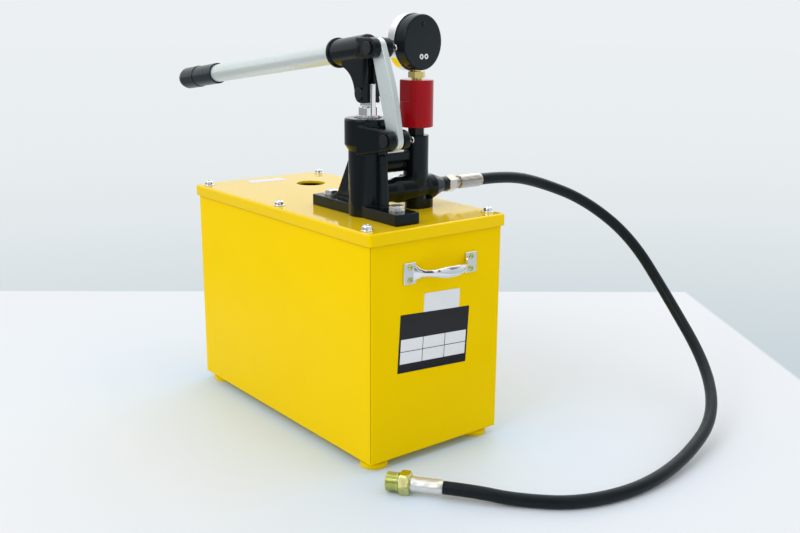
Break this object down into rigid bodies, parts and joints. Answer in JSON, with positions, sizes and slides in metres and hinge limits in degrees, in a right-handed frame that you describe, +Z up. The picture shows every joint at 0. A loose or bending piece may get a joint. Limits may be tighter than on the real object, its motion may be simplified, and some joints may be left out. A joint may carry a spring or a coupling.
{
  "type": "hand-operated hydrostatic test pump",
  "caption": "Hand lever water pressure test pump on its own steel tank, with plunger, link, pressure gauge, release valve and an outlet hose.",
  "frame": {"origin": "on the floor, under the middle of the overall length and width without the hose", "axes": "+X points to the short side of the tank below the linkage's ear, the lever's grip points to -X, +Y points to the side where the hose leaves, +Z is up"},
  "size_m": [0.7106, 0.4783, 0.47],
  "materials": {
    "yellow_paint": "gloss",
    "black_paint": "satin",
    "silver_paint": "satin",
    "red_paint": "satin",
    "chrome": "polished",
    "zinc_steel": "plated",
    "yellow_zinc": "plated",
    "brass": "machined",
    "black_oxide": "black oxide",
    "spring_steel": "plain",
    "rubber": "matte",
    "packing": "braided",
    "pipe": "matte",
    "dial": "matte",
    "glass": "clear"
  },
  "bodies": {
    "base": {"base_bolts": "zinc_steel", "base_nuts": "zinc_steel", "base_washers": "zinc_steel", "carry_handle_back": "chrome", "carry_handle_front": "chrome", "damper_nipple": "black_oxide", "delivery_spring": "spring_steel", "ear_pin": "black_oxide", "ear_split_pin": "zinc_steel", "end_ferrule": "zinc_steel", "end_fitting": "yellow_zinc", "gauge_bezel": "chrome", "gauge_case": "black_paint", "gauge_case_screws": "zinc_steel", "gauge_dial": "dial", "gauge_glass": "glass", "gauge_movement": "brass", "gauge_stem": "brass", "gauge_vent_plug": "rubber", "gland_nut": "black_oxide", "handle_screws": "zinc_steel", "hose": "rubber", "hose_ferrule": "zinc_steel", "hose_nut": "zinc_steel", "lid_screws": "zinc_steel", "outlet_nipple": "black_oxide", "plunger_packing": "packing", "pressure_damper": "red_paint", "pump_casting": "black_paint", "release_gland": "black_oxide", "suction_connector": "brass", "suction_pipe": "pipe", "suction_strainer": "zinc_steel", "tank_feet": "yellow_paint", "tank_lid": "yellow_paint", "tank_shell": "yellow_paint"},
    "plunger": {"plunger": "chrome"},
    "lever": {"lever_head": "black_paint", "socket_set_screw": "black_oxide", "handle_tube": "silver_paint", "handle_grip": "rubber", "plunger_pin": "black_oxide", "plunger_split_pin": "zinc_steel", "link_pin": "black_oxide", "link_split_pin": "zinc_steel"},
    "link": {"link": "silver_paint"},
    "release_valve": {"release_spindle": "chrome", "release_bar": "chrome"},
    "pointer": {"gauge_pointer": "black_oxide"},
    "suction_ball": {"suction_ball": "spring_steel"},
    "delivery_ball": {"delivery_ball": "spring_steel"}
  },
  "joints": [
    {"name": "plunger_slide", "type": "slide", "parent": "base", "child": "plunger", "axis": [0, 0, 1], "range_m": [-0.0053, 0.0261]},
    {"name": "lever_hinge", "type": "hinge", "parent": "plunger", "child": "lever", "pos_m": [0.1577, -0.031, 0.3873], "axis": [0, -1, 0], "range_deg": [-40, 8]},
    {"name": "link_hinge", "type": "hinge", "parent": "base", "child": "link", "pos_m": [0.2047, -0.031, 0.3426], "axis": [0, -1, 0], "range_deg": [-17, 3.5]},
    {"name": "release_turn", "type": "hinge", "parent": "base", "child": "release_valve", "pos_m": [0.1237, 0.035, 0.284], "axis": [-1, 0, 0], "range_deg": [0, 360]},
    {"name": "pointer_turn", "type": "hinge", "parent": "base", "child": "pointer", "pos_m": [0.1577, 0.035, 0.439], "axis": [0.9903, 0.1392, 0], "range_deg": [0, 270], "stiffness_Nm_per_rad": 0.002, "springref_deg": -5.73},
    {"name": "suction_ball_lift", "type": "slide", "parent": "base", "child": "suction_ball", "axis": [0, 0, 1], "range_m": [0, 0.002]},
    {"name": "delivery_ball_lift", "type": "slide", "parent": "base", "child": "delivery_ball", "axis": [0, 1, 0], "range_m": [0, 0.002], "stiffness_N_per_m": 200, "springref_m": -0.003, "deforming": ["delivery_spring"]}
  ],
  "couplings": [
    {"joint": "plunger_slide", "follows": "lever_hinge", "m_per_rad": -0.03715},
    {"joint": "link_hinge", "follows": "lever_hinge", "ratio": 0.4183}
  ]
}
